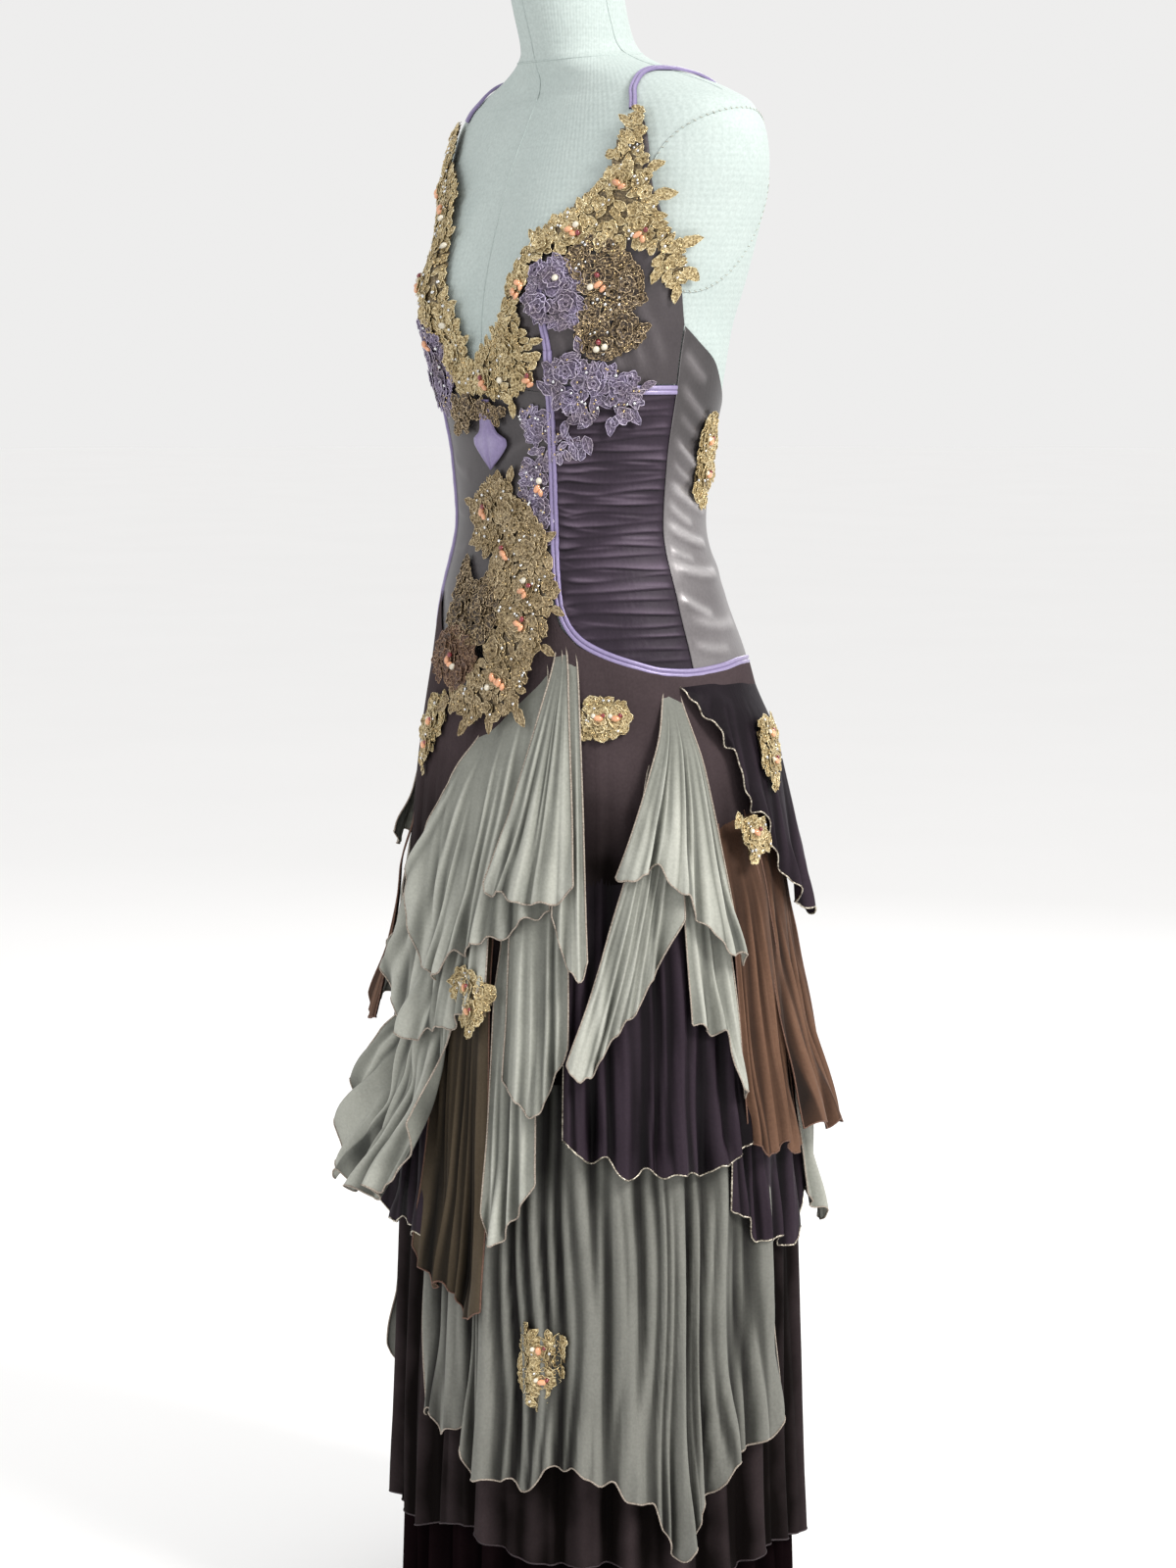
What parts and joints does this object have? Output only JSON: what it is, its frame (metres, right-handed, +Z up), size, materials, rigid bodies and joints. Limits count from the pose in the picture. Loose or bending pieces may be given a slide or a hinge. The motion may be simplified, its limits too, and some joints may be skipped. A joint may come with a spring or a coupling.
{
  "type": "layered evening gown on a limbless dress form with a stand",
  "caption": "Long evening gown with V neck, lace, ruched sides and layered chiffon leaves over a fluted skirt, on a limbless dress form and round stand",
  "frame": {"origin": "centre of the underside of the stand's base, on the floor", "axes": "+Z up along the stand; the front of the gown faces -Y and the wearer's left is +X"},
  "size_m": [0.4301, 0.4122, 1.552],
  "materials": {
    "canvas": "pale mint woven canvas stretched over the form, matte",
    "iron": "dark grey powder coat",
    "satin": "taupe grey satin, strong sheen",
    "cup_satin": "dark taupe satin under sheer chiffon",
    "plum_chiffon": "dark plum chiffon, faint sheen",
    "deep_plum_chiffon": "black plum chiffon, matte",
    "sheer_brown_chiffon": "sheer brown black chiffon, matte",
    "lilac_satin": "lilac satin piping, soft sheen",
    "gold_lace": "gold corded lace with small beads",
    "lilac_lace": "lilac corded lace with small beads",
    "sage_chiffon": "pale sage grey chiffon with rolled hems, matte",
    "brown_chiffon": "rust brown chiffon with rolled hems, matte"
  },
  "bodies": {
    "root": {"form_torso": "canvas", "stand_base": "iron", "stand_pole": "iron", "front_centre_panel": "satin", "cup_left": "cup_satin", "cup_right": "cup_satin", "ruched_side_left": "plum_chiffon", "ruched_side_right": "plum_chiffon", "back_panel_left": "satin", "back_panel_right": "satin", "piping_left": "lilac_satin", "piping_right": "lilac_satin", "underbust_band_left": "lilac_satin", "underbust_band_right": "lilac_satin", "strap_left": "lilac_satin", "strap_right": "lilac_satin", "ribbon_tab": "lilac_satin", "lace_cup_left": "gold_lace", "lace_cup_right": "gold_lace", "lace_waist_left": "lilac_lace", "lace_trail": "lilac_lace", "lace_centre_column": "gold_lace", "skirt_inner_front_left": "deep_plum_chiffon", "skirt_inner_back_left": "deep_plum_chiffon", "skirt_inner_back_right": "deep_plum_chiffon", "skirt_inner_front_right": "deep_plum_chiffon", "skirt_overlay_front_left": "sheer_brown_chiffon", "skirt_overlay_back_left": "sheer_brown_chiffon", "skirt_overlay_back_right": "sheer_brown_chiffon", "skirt_overlay_front_right": "sheer_brown_chiffon", "front_leaf_a": "sage_chiffon", "front_leaf_b": "sage_chiffon", "front_leaf_c": "sage_chiffon", "front_leaf_d": "sage_chiffon", "front_leaf_e": "sage_chiffon", "front_leaf_f": "sage_chiffon", "front_leaf_g": "sage_chiffon", "front_panel_brown": "brown_chiffon", "side_leaf_upper_left": "sage_chiffon", "side_leaf_middle_left": "sage_chiffon", "side_leaf_lower_left": "sage_chiffon", "side_leaf_upper_right": "sage_chiffon", "side_leaf_middle_right": "sage_chiffon", "side_panel_brown_front": "brown_chiffon", "back_overlay_left": "plum_chiffon", "back_overlay_right": "plum_chiffon", "back_panel_brown_a": "brown_chiffon", "back_panel_brown_b": "brown_chiffon", "back_panel_brown_c": "brown_chiffon", "back_leaf": "sage_chiffon", "back_leaf_centre_left": "sage_chiffon", "back_leaf_centre_right": "sage_chiffon", "tier_plum_left": "plum_chiffon", "tier_plum_back": "plum_chiffon", "tier_plum_front": "plum_chiffon", "tier_plum_right": "plum_chiffon", "tier_sage_left": "sage_chiffon", "tier_sage_right": "sage_chiffon", "tier_sage_back": "sage_chiffon"}
  },
  "joints": []
}
